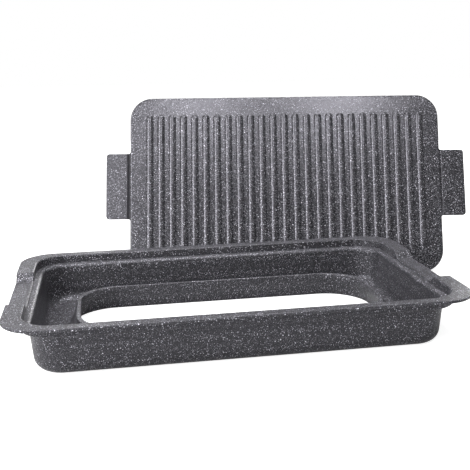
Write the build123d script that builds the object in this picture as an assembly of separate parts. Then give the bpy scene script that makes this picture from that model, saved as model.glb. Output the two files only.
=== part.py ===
# Rectangular grill pan for a gas stove: a drip tray with an open middle for the flame,
# and a ribbed grill plate that seats in the tray on two handle ears.
# Lengths are in millimetres. X runs along the long sides of the tray, Y points away from the
# viewer and Z points up. The plate stands on its long edge behind the tray, leaning back.
# The origin is the middle of the footprint of tray and standing plate, on the table.
import os
from math import radians, tan

from build123d import *

# drip tray, outside
tray_length = 440.0
tray_width = 260.5
tray_height = 52.2
sheet = 2.8
flange_corner_radius = 36.5
flange_edge_radius = 0.9

# seat for the grill plate: an upright step below the flange and a flat ledge at its foot
seat_length = 403.6
seat_width = 235.0
seat_corner_radius = 30.0
seat_depth = 8.8
seat_edge_radius = 1.6
ledge_edge_radius = 4.0

# deep wall below the ledge
wall_foot_length = 387.4
wall_foot_width = 217.0
wall_corner_radius = 27.5
wall_draft = 5.0
bottom_edge_radius = 12.5

# lowered stretch of the end flanges where the ears of the plate rest
recess_width = 90.0
recess_depth = 7.0
recess_ramp = 7.0
recess_blend_radius = 5.0

# inner ring around the flame opening
ring_height = 27.3
ring_draft = 18.0
opening_length = 326.0
opening_width = 145.0
opening_corner_radius = 47.0
ring_foot_radius = 6.0
ring_lip_height = 5.5
ring_lip_length = 306.0
ring_lip_width = 127.4
ring_lip_corner_radius = 42.0
ring_edge_radius = 1.0

# grill plate
plate_length = 399.8
plate_width = 231.4
plate_corner_radius = 28.7
plate_thickness = 4.0
plate_rim_height = 8.0
plate_rim_width = 4.5
plate_top_radius = 2.2
plate_foot_radius = 1.0
rib_count = 25
rib_pitch = 14.55
rib_width = 9.8
rib_height = 3.0
rib_length = 186.0

# handle ears of the plate
ear_reach = 31.4
ear_width = 85.6
ear_drop = 2.4
ear_thickness = 3.4
ear_corner_radius = 4.0
ear_root_radius = 3.0
ear_groove_radius = 2.0
ear_groove_depth = 1.1

# standing pose of the plate behind the tray
plate_stand_x = 99.6
plate_stand_y = 154.1
plate_turn = -10.1
plate_lean = 20.0

# middle of the footprint, measured from the middle of the tray
footprint_x = 58.77
footprint_y = 70.06

ledge_height = tray_height - seat_depth
step_foot_radius = 2.0
rib_root = 2.0
ear_edge_radius = 1.0
margin = 5.0
tolerance = 0.01


def rounded_block(length, width, radius, low, high):
    plan = Pos(0, 0, low) * RectangleRounded(length, width, radius)
    return extrude(plan, high - low)


def drafted_block(length, width, radius, low, high, draft):
    plan = Pos(0, 0, low) * RectangleRounded(length, width, radius)
    return extrude(plan, high - low, taper=draft)


def edges_between(shape, low, high, length, width):
    # edges that lie wholly inside a centred box of this plan and height range
    def inside(edge):
        box = edge.bounding_box()
        return (
            box.min.Z > low - tolerance
            and box.max.Z < high + tolerance
            and max(-box.min.X, box.max.X) < length / 2 + tolerance
            and max(-box.min.Y, box.max.Y) < width / 2 + tolerance
        )

    return shape.edges().filter_by(inside)


def edges_at(shape, height, length=tray_length, width=tray_width):
    return edges_between(shape, height, height, length, width)


def block_below_flange_top():
    # everything below the top face of the flange, with the lowered stretch in the middle
    half = recess_width / 2
    far = tray_width / 2 + margin
    low = tray_height - recess_depth
    outline = Polyline(
        (-far, -margin),
        (-far, tray_height),
        (-half - recess_ramp, tray_height),
        (-half, low),
        (half, low),
        (half + recess_ramp, tray_height),
        (far, tray_height),
        (far, -margin),
        close=True,
    )
    face = make_face(outline)
    bends = [corner for corner in face.vertices() if abs(corner.X) < far - margin]
    face = fillet(bends, recess_blend_radius)
    section = Plane.YZ.offset(-tray_length / 2 - margin) * face
    return extrude(section, tray_length + 2 * margin, dir=(1, 0, 0))


def make_flange(top_block):
    outline = rounded_block(tray_length, tray_width, flange_corner_radius, 0, tray_height + margin)
    band = top_block - Pos(0, 0, -sheet) * top_block
    flange = outline & band
    return fillet(flange_rim_edges(flange), flange_edge_radius)


def flange_rim_edges(flange):
    # the outer edges, without the seams that run across the flange at the ramps
    def on_rim(edge):
        box = edge.bounding_box()
        across = box.size.Y < tolerance and abs(box.min.Y) < tray_width / 2 - tolerance
        upright = box.size.X < tolerance and box.size.Y < tolerance
        outer = (
            max(-box.min.X, box.max.X) > tray_length / 2 - tolerance
            or max(-box.min.Y, box.max.Y) > tray_width / 2 - tolerance
        )
        return outer and not across and not upright

    return flange.edges().filter_by(on_rim)


def make_step(top_block):
    # the upright step around the seat, with the ledge as its floor
    step = rounded_block(
        seat_length + 2 * sheet,
        seat_width + 2 * sheet,
        seat_corner_radius + sheet,
        ledge_height - sheet,
        tray_height + margin,
    )
    step = fillet(edges_at(step, ledge_height - sheet), step_foot_radius)
    return step & top_block


def make_wall():
    wall = drafted_block(
        wall_foot_length, wall_foot_width, wall_corner_radius, 0, ledge_height, -wall_draft
    )
    return fillet(edges_at(wall, 0), bottom_edge_radius)


def make_trough_space():
    grow = sheet * tan(radians(wall_draft)) - sheet
    space = drafted_block(
        wall_foot_length + 2 * grow,
        wall_foot_width + 2 * grow,
        wall_corner_radius + grow,
        sheet,
        ledge_height + sheet,
        -wall_draft,
    )
    return fillet(edges_at(space, sheet), bottom_edge_radius - sheet)


def make_ring():
    return drafted_block(
        opening_length + 2 * sheet,
        opening_width + 2 * sheet,
        opening_corner_radius + sheet,
        0,
        ring_height,
        ring_draft,
    )


def make_opening_space():
    below_lip = drafted_block(
        opening_length,
        opening_width,
        opening_corner_radius,
        0,
        ring_height - ring_lip_height,
        ring_draft,
    )
    through = rounded_block(
        ring_lip_length, ring_lip_width, ring_lip_corner_radius, -margin, ring_height + margin
    )
    return below_lip + through


def make_drip_tray():
    top_block = block_below_flange_top()
    tray = make_wall() + make_flange(top_block) + make_step(top_block)
    tray -= rounded_block(
        seat_length, seat_width, seat_corner_radius, ledge_height, tray_height + margin
    )
    tray -= make_trough_space()
    tray = fillet(
        edges_between(
            tray, tray_height - recess_depth, tray_height, seat_length, seat_width
        ),
        seat_edge_radius,
    )
    spread = 2 * ledge_height * tan(radians(wall_draft)) - sheet
    wall_edge = edges_at(tray, ledge_height, wall_foot_length + spread, wall_foot_width + spread)
    tray = fillet(wall_edge, ledge_edge_radius)
    tray += make_ring()
    foot_length = opening_length + 2 * sheet
    foot_width = opening_width + 2 * sheet
    tray = fillet(edges_at(tray, sheet, foot_length, foot_width), ring_foot_radius)
    tray -= make_opening_space()
    tray = fillet(edges_at(tray, ring_height), ring_edge_radius)
    return fillet(edges_at(tray, 0, opening_length, opening_width), ring_edge_radius)


def make_rib(x):
    # a round bar with ball ends, sunk so that only its crown stands above the plate
    radius = (rib_width ** 2 / 4 + rib_height ** 2) / (2 * rib_height)
    straight = rib_length - rib_width
    bar = Rot(X=90) * Cylinder(radius, straight)
    for end in (-1, 1):
        bar += Pos(0, end * straight / 2, 0) * Sphere(radius)
    crown_room = Box(2 * radius, rib_length + 2 * radius, rib_height + rib_root)
    crown_room = Pos(0, 0, radius - (rib_height + rib_root) / 2) * crown_room
    return Pos(x, 0, rib_height - radius) * (bar & crown_room)


def make_ears():
    plan = RectangleRounded(plate_length, plate_width, plate_corner_radius)
    plan += Rectangle(plate_length + 2 * ear_reach, ear_width)
    tips = [point for point in plan.vertices() if abs(point.X) > plate_length / 2 + tolerance]
    plan = fillet(tips, ear_corner_radius)
    roots = [
        point
        for point in plan.vertices()
        if abs(abs(point.X) - plate_length / 2) < tolerance
        and abs(abs(point.Y) - ear_width / 2) < tolerance
    ]
    plan = fillet(roots, ear_root_radius)
    ears = extrude(Pos(0, 0, -ear_drop - ear_thickness) * plan, ear_thickness)
    ears = fillet(
        edges_between(
            ears, -ear_drop, -ear_drop, plate_length + 2 * ear_reach, ear_width + 2 * ear_root_radius
        ),
        ear_edge_radius,
    )
    return ears


def make_grill_plate():
    rim = rounded_block(plate_length, plate_width, plate_corner_radius, -plate_rim_height, 0)
    rim = fillet(edges_at(rim, 0, plate_length, plate_width), plate_top_radius)
    rim = fillet(edges_at(rim, -plate_rim_height, plate_length, plate_width), plate_foot_radius)
    plate = rim + make_ears()
    groove_x = plate_length / 2 + ear_groove_radius
    groove_z = ear_groove_radius - ear_drop - ear_groove_depth
    for side in (-1, 1):
        groove = Rot(X=90) * Cylinder(ear_groove_radius, ear_width + 2 * ear_root_radius)
        plate -= Pos(side * groove_x, 0, groove_z) * groove
    hollow = rounded_block(
        plate_length - 2 * plate_rim_width,
        plate_width - 2 * plate_rim_width,
        plate_corner_radius - plate_rim_width,
        -plate_rim_height - margin,
        -plate_thickness,
    )
    hollow = fillet(edges_at(hollow, -plate_thickness), plate_foot_radius)
    plate -= hollow
    first = -rib_pitch * (rib_count - 1) / 2
    for number in range(rib_count):
        plate += make_rib(first + number * rib_pitch)
    return plate


def stand_plate(plate):
    # stand the plate on its long edge, lean it back, turn it and rest it on the table
    upright = Rot(X=90 - plate_lean) * Pos(0, plate_width / 2, 0) * plate
    standing = Rot(Z=plate_turn) * upright
    lift = -standing.bounding_box().min.Z
    return Pos(plate_stand_x, plate_stand_y, lift) * standing


if __name__ == "__main__":
    os.makedirs("parts", exist_ok=True)
    nodes = {"drip_tray": make_drip_tray(), "grill_plate": stand_plate(make_grill_plate())}
    for name, solid in nodes.items():
        export_step(Pos(-footprint_x, -footprint_y, 0) * solid, f"parts/{name}.step")
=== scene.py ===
from collections import namedtuple
from math import cos, radians, sin

import bmesh
import bpy
from mathutils import Matrix, Vector


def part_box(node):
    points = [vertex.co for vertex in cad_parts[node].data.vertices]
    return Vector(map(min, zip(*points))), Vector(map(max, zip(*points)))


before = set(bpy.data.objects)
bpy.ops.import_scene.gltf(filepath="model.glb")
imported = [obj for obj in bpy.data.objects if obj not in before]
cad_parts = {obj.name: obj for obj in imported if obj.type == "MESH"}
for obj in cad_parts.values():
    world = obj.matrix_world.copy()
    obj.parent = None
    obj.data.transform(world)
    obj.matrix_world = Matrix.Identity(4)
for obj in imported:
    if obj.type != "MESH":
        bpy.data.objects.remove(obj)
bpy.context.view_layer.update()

# Rectangular grill pan: the stone coating of the drip tray and of the ribbed grill plate that
# stands behind it, the camera of the photograph and a white studio. Lengths are in metres, unless
# a name or a comment says otherwise.

MILLIMETRE = 0.001

TRAY = "drip_tray"
PLATE = "grill_plate"

# the standing plate: the middle of its foot and its long direction
PLATE_TURN = radians(10.1)
PLATE_FOOT = Vector((0.0408, 0.084, 0.0))
PLATE_ALONG = Vector((cos(PLATE_TURN), -sin(PLATE_TURN), 0.0))

# painted shade in the groove between the plate and its left ear, a darkening of the coating's
# colour
# where its deep shadow falls: how far to the left of the plate's middle it lies, half its width,
# the part of that half where it is deepest, how much it covers there and how dark it is
GROOVE_REACH = 202.4 * MILLIMETRE
GROOVE_HALF_WIDTH = 2.8 * MILLIMETRE
GROOVE_CORE = 0.6
PAINTED_SHADE_COVER = 0.85
PAINTED_SHADE_LEVEL = 0.004

# camera, worked out from the outlines of the tray and the plate in the photograph
PHOTO_WIDTH = 470
CAMERA_FROM_TRAY_MIDDLE = Vector((-123.35, -756.05, 277.77)) * MILLIMETRE
CAMERA_TURN = radians(9.76)
CAMERA_TILT = radians(13.47)
CAMERA_ROLL = radians(-0.81)
FOCAL_LENGTH_PIXELS = 765.9
SENSOR_WIDTH = 36.0
NEAREST_SEEN = 0.01
FARTHEST_SEEN = 100.0

# ground of the coating: how dark it is, how far the grain varies that and the pores the
# roughness, and how deep its dimples are
GROUND_LEVEL = 0.02
GRAIN_CONTRAST = 0.45
ROUGHNESS_SPREAD = 0.05
DIMPLE_STRENGTH = 0.45
DIMPLE_DEPTH = 0.3 * MILLIMETRE

# noise patterns of the ground, per metre, and the range that such a pattern keeps to
GRAIN_SCALE = 1000.0
PORE_SCALE = 900.0
DIMPLE_SCALE = 650.0
NOISE_LOW = 0.3
NOISE_HIGH = 0.7

# how rough and how glossy the coating of each piece is, and the tint of the gloss
TRAY_ROUGHNESS = 0.36
TRAY_GLOSS = 0.5
PLATE_ROUGHNESS = 0.15
PLATE_GLOSS = 0.65
GLOSS_TINT_LEVEL = 0.93

# layers of pale flecks: spacing and largest radius in millimetres, share of the cells that hold
# a fleck, how opaque and how pale it is, and how much it raises the surface
FleckLayer = namedtuple("FleckLayer", "spacing radius share cover level rise")
FLECK_LAYERS = (
    FleckLayer(spacing=0.8, radius=0.38, share=0.8, cover=0.9, level=0.28, rise=0.0),
    FleckLayer(spacing=1.4, radius=0.46, share=0.72, cover=1.0, level=0.9, rise=0.3),
    FleckLayer(spacing=4.0, radius=0.65, share=0.62, cover=1.0, level=1.0, rise=0.3),
)

# the smallest fleck of a layer against its largest, the thinnest against its most opaque, and the
# part of a fleck's radius that isn't faded
SMALLEST_FLECK = 0.45
THINNEST_FLECK = 0.35
FLECK_CORE = 0.7

# how much larger the flecks are on faces that look straight up, and the upward part of a face's
# normal at which they start to grow
UPWARD_GROWTH = 1.3
GROWTH_START = 0.5

# floor: half its length, its tone and roughness, and the light that it sends to the camera on top
# of what the lamps give it, which grows from near the object to full white far away
FLOOR_HALF_LENGTH = 6.0
FLOOR_LEVEL = 0.6
FLOOR_ROUGHNESS = 0.9
NEAR_GLOW = 0.86
NEAR_DISTANCE = 0.4
FAR_DISTANCE = 1.6

# even light of the room, how bright its front and back halves look in reflections, and how far
# to each side of the middle the one fades into the other
ROOM_LIGHT = 0.3
FRONT_REFLECTION = 0.24
BACK_REFLECTION = 0.64
REFLECTION_FADE = 0.15

# what the softboxes aim at
PLATE_MIDDLE = (0.04, 0.12, 0.1)
PLATE_TOP = (0.04, 0.16, 0.2)
PLATE_BACK = (0.05, 0.2, 0.1)
TRAY_FRONT = (-0.2, 0.0, 0.05)
FLOOR_MIDDLE = (0.0, 0.0, 0.0)

# softboxes: place, aim, width and height in metres, power in watts
Softbox = namedtuple("Softbox", "name place aim width height power")
SOFTBOXES = (
    # bright lines along the left flanks of the ribs
    Softbox("left softbox", (-0.81, -0.23, 0.5), PLATE_MIDDLE, 0.37, 0.8, 9.0),
    # left border of the plate and its left ear
    Softbox("front left softbox", (-0.75, -0.89, 0.66), PLATE_MIDDLE, 0.45, 0.6, 2.6),
    # border above the ribs
    Softbox("high left softbox", (-0.33, -0.95, 1.15), PLATE_TOP, 0.25, 0.4, 3.2),
    Softbox("high right softbox", (0.11, -0.95, 1.15), PLATE_TOP, 0.25, 0.4, 4.0),
    # front wall of the tray
    Softbox("low front softbox", (-0.8, -1.6, 0.35), TRAY_FRONT, 0.9, 0.6, 6.0),
    # back of the plate
    Softbox("back softbox", (0.4, 1.5, 0.35), PLATE_BACK, 1.2, 0.5, 9.0),
    # flange, ledge and floor of the tray
    Softbox("top softbox", (0.0, 0.0, 1.7), FLOOR_MIDDLE, 0.8, 0.8, 16.5),
)

# kinds of socket on the node groups
VALUE = "NodeSocketFloat"
COLOUR = "NodeSocketColor"
VECTOR = "NodeSocketVector"


# camera


def middle_of(node):
    low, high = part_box(node)
    return (Vector(low) + Vector(high)) / 2


def add_camera():
    data = bpy.data.cameras.new("photo_camera")
    data.sensor_width = SENSOR_WIDTH
    data.lens = FOCAL_LENGTH_PIXELS / PHOTO_WIDTH * SENSOR_WIDTH
    data.clip_start = NEAREST_SEEN
    data.clip_end = FARTHEST_SEEN
    camera = bpy.data.objects.new("photo_camera", data)
    bpy.context.scene.collection.objects.link(camera)
    ahead = Vector(
        (
            sin(CAMERA_TURN) * cos(CAMERA_TILT),
            cos(CAMERA_TURN) * cos(CAMERA_TILT),
            -sin(CAMERA_TILT),
        )
    )
    level_right = Vector((cos(CAMERA_TURN), -sin(CAMERA_TURN), 0.0))
    level_up = level_right.cross(ahead)
    right = level_right * cos(CAMERA_ROLL) + level_up * sin(CAMERA_ROLL)
    up = level_up * cos(CAMERA_ROLL) - level_right * sin(CAMERA_ROLL)
    turn = Matrix((right, up, -ahead)).transposed().to_4x4()
    tray_middle = middle_of(TRAY)
    place = Vector((tray_middle.x, tray_middle.y, 0.0)) + CAMERA_FROM_TRAY_MIDDLE
    camera.matrix_world = Matrix.Translation(place) @ turn
    bpy.context.scene.camera = camera


# node helpers


def feed(tree, value, socket):
    # a socket takes another node's output, or else a plain value
    if isinstance(value, bpy.types.NodeSocket):
        tree.links.new(value, socket)
    else:
        socket.default_value = value


def feed_all(tree, node, inputs):
    # inputs go by name, or by number where two of them share a name
    for key, value in inputs.items():
        feed(tree, value, node.inputs[key])
    return node


def add_node(tree, kind, inputs):
    return feed_all(tree, tree.nodes.new(kind), inputs)


def math_node(tree, operation, *values):
    node = tree.nodes.new("ShaderNodeMath")
    node.operation = operation
    for value, socket in zip(values, node.inputs):
        feed(tree, value, socket)
    return node.outputs["Value"]


def vector_node(tree, operation, inputs):
    node = tree.nodes.new("ShaderNodeVectorMath")
    node.operation = operation
    return feed_all(tree, node, inputs).outputs


def noise(tree, position, scale, detail, roughness):
    inputs = {"Vector": position, "Scale": scale, "Detail": detail, "Roughness": roughness}
    return add_node(tree, "ShaderNodeTexNoise", inputs).outputs["Fac"]


def remap(tree, value, low, high, new_low, new_high):
    # spread the range from low to high over the new range, and stop at its ends
    inputs = {
        "Value": value,
        "From Min": low,
        "From Max": high,
        "To Min": new_low,
        "To Max": new_high,
    }
    return add_node(tree, "ShaderNodeMapRange", inputs).outputs["Result"]


def mix_colour(tree, factor, first, second):
    node = tree.nodes.new("ShaderNodeMix")
    node.data_type = "RGBA"
    return feed_all(tree, node, {"Factor": factor, "A": first, "B": second}).outputs["Result"]


def grey(level):
    return (level, level, level, 1.0)


def slate(level):
    # grey with the faint violet cast of the coating
    return (level * 0.98, level * 0.965, level * 1.075, 1.0)


def new_group(name, inputs, outputs):
    # a shader node group, with what goes into it and what comes out, by name
    group = bpy.data.node_groups.new(name, "ShaderNodeTree")
    for socket_name, kind in inputs.items():
        group.interface.new_socket(socket_name, in_out="INPUT", socket_type=kind)
    for socket_name, kind in outputs.items():
        group.interface.new_socket(socket_name, in_out="OUTPUT", socket_type=kind)
    given = group.nodes.new("NodeGroupInput").outputs
    result = group.nodes.new("NodeGroupOutput").inputs
    return group, given, result


def add_group(tree, group, inputs):
    node = tree.nodes.new("ShaderNodeGroup")
    node.node_tree = group
    return feed_all(tree, node, inputs).outputs


def new_material(name):
    material = bpy.data.materials.new(name)
    material.use_nodes = True
    tree = material.node_tree
    tree.nodes.clear()
    shader = tree.nodes.new("ShaderNodeBsdfPrincipled")
    add_node(tree, "ShaderNodeOutputMaterial", {"Surface": shader.outputs["BSDF"]})
    return material, tree, shader


# stone coating of the tray and the plate


def make_ground_group():
    # dark ground of the coating, with its fine grain, its pores and its dimples
    group, given, result = new_group(
        "coating ground",
        {"Position": VECTOR, "Roughness": VALUE},
        {"Colour": COLOUR, "Roughness": VALUE, "Height": VALUE},
    )
    grain = noise(group, given["Position"], GRAIN_SCALE, detail=2.0, roughness=0.6)
    grain = remap(group, grain, NOISE_LOW, NOISE_HIGH, 0.0, 1.0)
    darkest = slate(GROUND_LEVEL * (1.0 - GRAIN_CONTRAST))
    palest = slate(GROUND_LEVEL * (1.0 + GRAIN_CONTRAST))
    feed(group, mix_colour(group, grain, darkest, palest), result["Colour"])
    pores = noise(group, given["Position"], PORE_SCALE, detail=2.0, roughness=0.5)
    smoothest = math_node(group, "SUBTRACT", given["Roughness"], ROUGHNESS_SPREAD)
    roughest = math_node(group, "ADD", given["Roughness"], ROUGHNESS_SPREAD)
    rough = remap(group, pores, NOISE_LOW, NOISE_HIGH, smoothest, roughest)
    feed(group, rough, result["Roughness"])
    dimples = noise(group, given["Position"], DIMPLE_SCALE, detail=3.0, roughness=0.6)
    feed(group, dimples, result["Height"])
    return group


def make_fleck_group():
    # one layer of stone flecks, laid over the colour below: round dots scattered in space and cut
    # open by the surface
    group, given, result = new_group(
        "fleck layer",
        {
            "Position": VECTOR,
            "Below": COLOUR,
            "Pale": COLOUR,
            "Spacing": VALUE,
            "Radius": VALUE,
            "Share": VALUE,
            "Cover": VALUE,
        },
        {"Colour": COLOUR, "Fleck": VALUE},
    )
    cells_per_metre = math_node(group, "DIVIDE", 1.0 / MILLIMETRE, given["Spacing"])
    place = vector_node(group, "SCALE", {0: given["Position"], "Scale": cells_per_metre})
    cells = add_node(group, "ShaderNodeTexVoronoi", {"Vector": place["Vector"], "Scale": 1.0})
    cells = cells.outputs
    chance = add_node(group, "ShaderNodeSeparateColor", {"Color": cells["Color"]}).outputs
    chosen = math_node(group, "LESS_THAN", chance["Red"], given["Share"])
    largest = math_node(group, "DIVIDE", given["Radius"], given["Spacing"])
    own_size = remap(group, chance["Green"], 0.0, 1.0, SMALLEST_FLECK, 1.0)
    radius = math_node(group, "MULTIPLY", largest, own_size)
    core = math_node(group, "MULTIPLY", radius, FLECK_CORE)
    dot = remap(group, cells["Distance"], core, radius, 1.0, 0.0)
    fleck = math_node(group, "MULTIPLY", dot, chosen)
    thinnest = math_node(group, "MULTIPLY", given["Cover"], THINNEST_FLECK)
    own_cover = remap(group, chance["Blue"], 0.0, 1.0, thinnest, given["Cover"])
    cover = math_node(group, "MULTIPLY", own_cover, fleck)
    feed(group, mix_colour(group, cover, given["Below"], given["Pale"]), result["Colour"])
    feed(group, fleck, result["Fleck"])
    return group


def fleck_growth(tree, normal):
    # the flecks are larger on the faces that look up
    facing = add_node(tree, "ShaderNodeSeparateXYZ", {"Vector": normal}).outputs
    return remap(tree, facing["Z"], GROWTH_START, 1.0, 1.0, UPWARD_GROWTH)


def painted_ear_groove_shade(tree, position):
    # how much the painted shade beside the left ear covers, and 0 elsewhere
    along = vector_node(tree, "DOT_PRODUCT", {0: position, 1: PLATE_ALONG})
    groove_middle = PLATE_ALONG.dot(PLATE_FOOT) - GROOVE_REACH
    off_middle = math_node(tree, "SUBTRACT", along["Value"], groove_middle)
    off_middle = math_node(tree, "ABSOLUTE", off_middle)
    core = GROOVE_HALF_WIDTH * GROOVE_CORE
    return remap(tree, off_middle, core, GROOVE_HALF_WIDTH, PAINTED_SHADE_COVER, 0.0)


def stone_coating(name, ground_group, fleck_group, roughness, gloss, with_painted_groove_shade=False):
    # dark non-stick coating with pale stone flecks in three sizes, and where asked, painted shade
    # in the groove beside the left ear
    material, tree, shader = new_material(name)
    coordinates = tree.nodes.new("ShaderNodeTexCoord").outputs
    position = coordinates["Object"]
    ground = add_group(tree, ground_group, {"Position": position, "Roughness": roughness})
    colour = ground["Colour"]
    rough = ground["Roughness"]
    height = ground["Height"]
    growth = fleck_growth(tree, coordinates["Normal"])
    for layer in FLECK_LAYERS:
        flecks = add_group(
            tree,
            fleck_group,
            {
                "Position": position,
                "Below": colour,
                "Pale": slate(layer.level),
                "Spacing": layer.spacing,
                "Radius": math_node(tree, "MULTIPLY", growth, layer.radius),
                "Share": layer.share,
                "Cover": layer.cover,
            },
        )
        colour = flecks["Colour"]
        if layer.rise:
            height = math_node(tree, "MULTIPLY_ADD", flecks["Fleck"], layer.rise, height)
    # paint the groove's deep shade into the colour, and make the coating rough there
    if with_painted_groove_shade:
        shade = painted_ear_groove_shade(tree, position)
        colour = mix_colour(tree, shade, colour, slate(PAINTED_SHADE_LEVEL))
        rough = math_node(tree, "MAXIMUM", rough, shade)

    bump = tree.nodes.new("ShaderNodeBump")
    bump.inputs["Strength"].default_value = DIMPLE_STRENGTH
    bump.inputs["Distance"].default_value = DIMPLE_DEPTH
    feed(tree, height, bump.inputs["Height"])
    feed(tree, colour, shader.inputs["Base Color"])
    feed(tree, rough, shader.inputs["Roughness"])
    feed(tree, bump.outputs["Normal"], shader.inputs["Normal"])
    shader.inputs["Specular IOR Level"].default_value = gloss
    shader.inputs["Specular Tint"].default_value = slate(GLOSS_TINT_LEVEL)
    return material


def dress(node, material):
    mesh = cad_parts[node].data
    mesh.materials.clear()
    mesh.materials.append(material)


def coat_tray(ground_group, fleck_group):
    coating = stone_coating(
        "tray stone coating", ground_group, fleck_group, TRAY_ROUGHNESS, TRAY_GLOSS
    )
    dress(TRAY, coating)


def coat_plate(ground_group, fleck_group):
    # the plate's coating gets painted shade in the groove beside its left ear
    coating = stone_coating(
        "plate stone coating",
        ground_group,
        fleck_group,
        PLATE_ROUGHNESS,
        PLATE_GLOSS,
        with_painted_groove_shade=True,
    )
    dress(PLATE, coating)


# studio


def add_world():
    # white for the camera; in reflections a dim room on the viewer's side and a paler one behind
    # the object; even light from all around
    world = bpy.data.worlds.new("white studio")
    bpy.context.scene.world = world
    world.use_nodes = True
    tree = world.node_tree
    tree.nodes.clear()
    ray = tree.nodes.new("ShaderNodeLightPath").outputs
    coordinates = tree.nodes.new("ShaderNodeTexCoord").outputs
    direction = add_node(tree, "ShaderNodeSeparateXYZ", {"Vector": coordinates["Generated"]})
    mirrored = remap(
        tree,
        direction.outputs["Y"],
        -REFLECTION_FADE,
        REFLECTION_FADE,
        FRONT_REFLECTION,
        BACK_REFLECTION,
    )
    seen = math_node(tree, "MAXIMUM", mirrored, ray["Is Camera Ray"])
    backdrop = add_node(tree, "ShaderNodeBackground", {"Color": grey(1.0), "Strength": seen})
    lighting = add_node(tree, "ShaderNodeBackground", {"Color": grey(1.0), "Strength": ROOM_LIGHT})
    direct = math_node(tree, "MAXIMUM", ray["Is Camera Ray"], ray["Is Glossy Ray"])
    mix = add_node(
        tree,
        "ShaderNodeMixShader",
        {
            "Fac": direct,
            1: lighting.outputs["Background"],
            2: backdrop.outputs["Background"],
        },
    )
    add_node(tree, "ShaderNodeOutputWorld", {"Surface": mix.outputs["Shader"]})


def add_softbox(softbox):
    data = bpy.data.lights.new(softbox.name, "AREA")
    data.shape = "RECTANGLE"
    data.size = softbox.width
    data.size_y = softbox.height
    data.energy = softbox.power
    lamp = bpy.data.objects.new(softbox.name, data)
    lamp.location = softbox.place
    aim = Vector(softbox.aim) - Vector(softbox.place)
    lamp.rotation_euler = aim.to_track_quat("-Z", "Y").to_euler()
    bpy.context.scene.collection.objects.link(lamp)


def white_floor():
    # pale floor that keeps the object's shadow and runs into the white backdrop
    material, tree, shader = new_material("white floor")
    shader.inputs["Base Color"].default_value = grey(FLOOR_LEVEL)
    shader.inputs["Roughness"].default_value = FLOOR_ROUGHNESS
    shader.inputs["Specular IOR Level"].default_value = 0.0
    shader.inputs["Emission Color"].default_value = grey(1.0)
    coordinates = tree.nodes.new("ShaderNodeTexCoord").outputs
    distance = vector_node(tree, "LENGTH", {0: coordinates["Object"]})
    glow = remap(tree, distance["Value"], NEAR_DISTANCE, FAR_DISTANCE, NEAR_GLOW, 1.0)
    ray = tree.nodes.new("ShaderNodeLightPath").outputs
    glow = math_node(tree, "MULTIPLY", ray["Is Camera Ray"], glow)
    feed(tree, glow, shader.inputs["Emission Strength"])
    return material


def add_floor():
    mesh = bpy.data.meshes.new("studio_floor")
    shape = bmesh.new()
    bmesh.ops.create_grid(shape, x_segments=1, y_segments=1, size=FLOOR_HALF_LENGTH)
    shape.to_mesh(mesh)
    shape.free()
    mesh.materials.append(white_floor())
    floor = bpy.data.objects.new("studio_floor", mesh)
    bpy.context.scene.collection.objects.link(floor)


add_camera()
ground_group = make_ground_group()
fleck_group = make_fleck_group()
coat_tray(ground_group, fleck_group)
coat_plate(ground_group, fleck_group)
add_world()
for softbox in SOFTBOXES:
    add_softbox(softbox)
add_floor()

bpy.context.scene.view_settings.view_transform = "Standard"
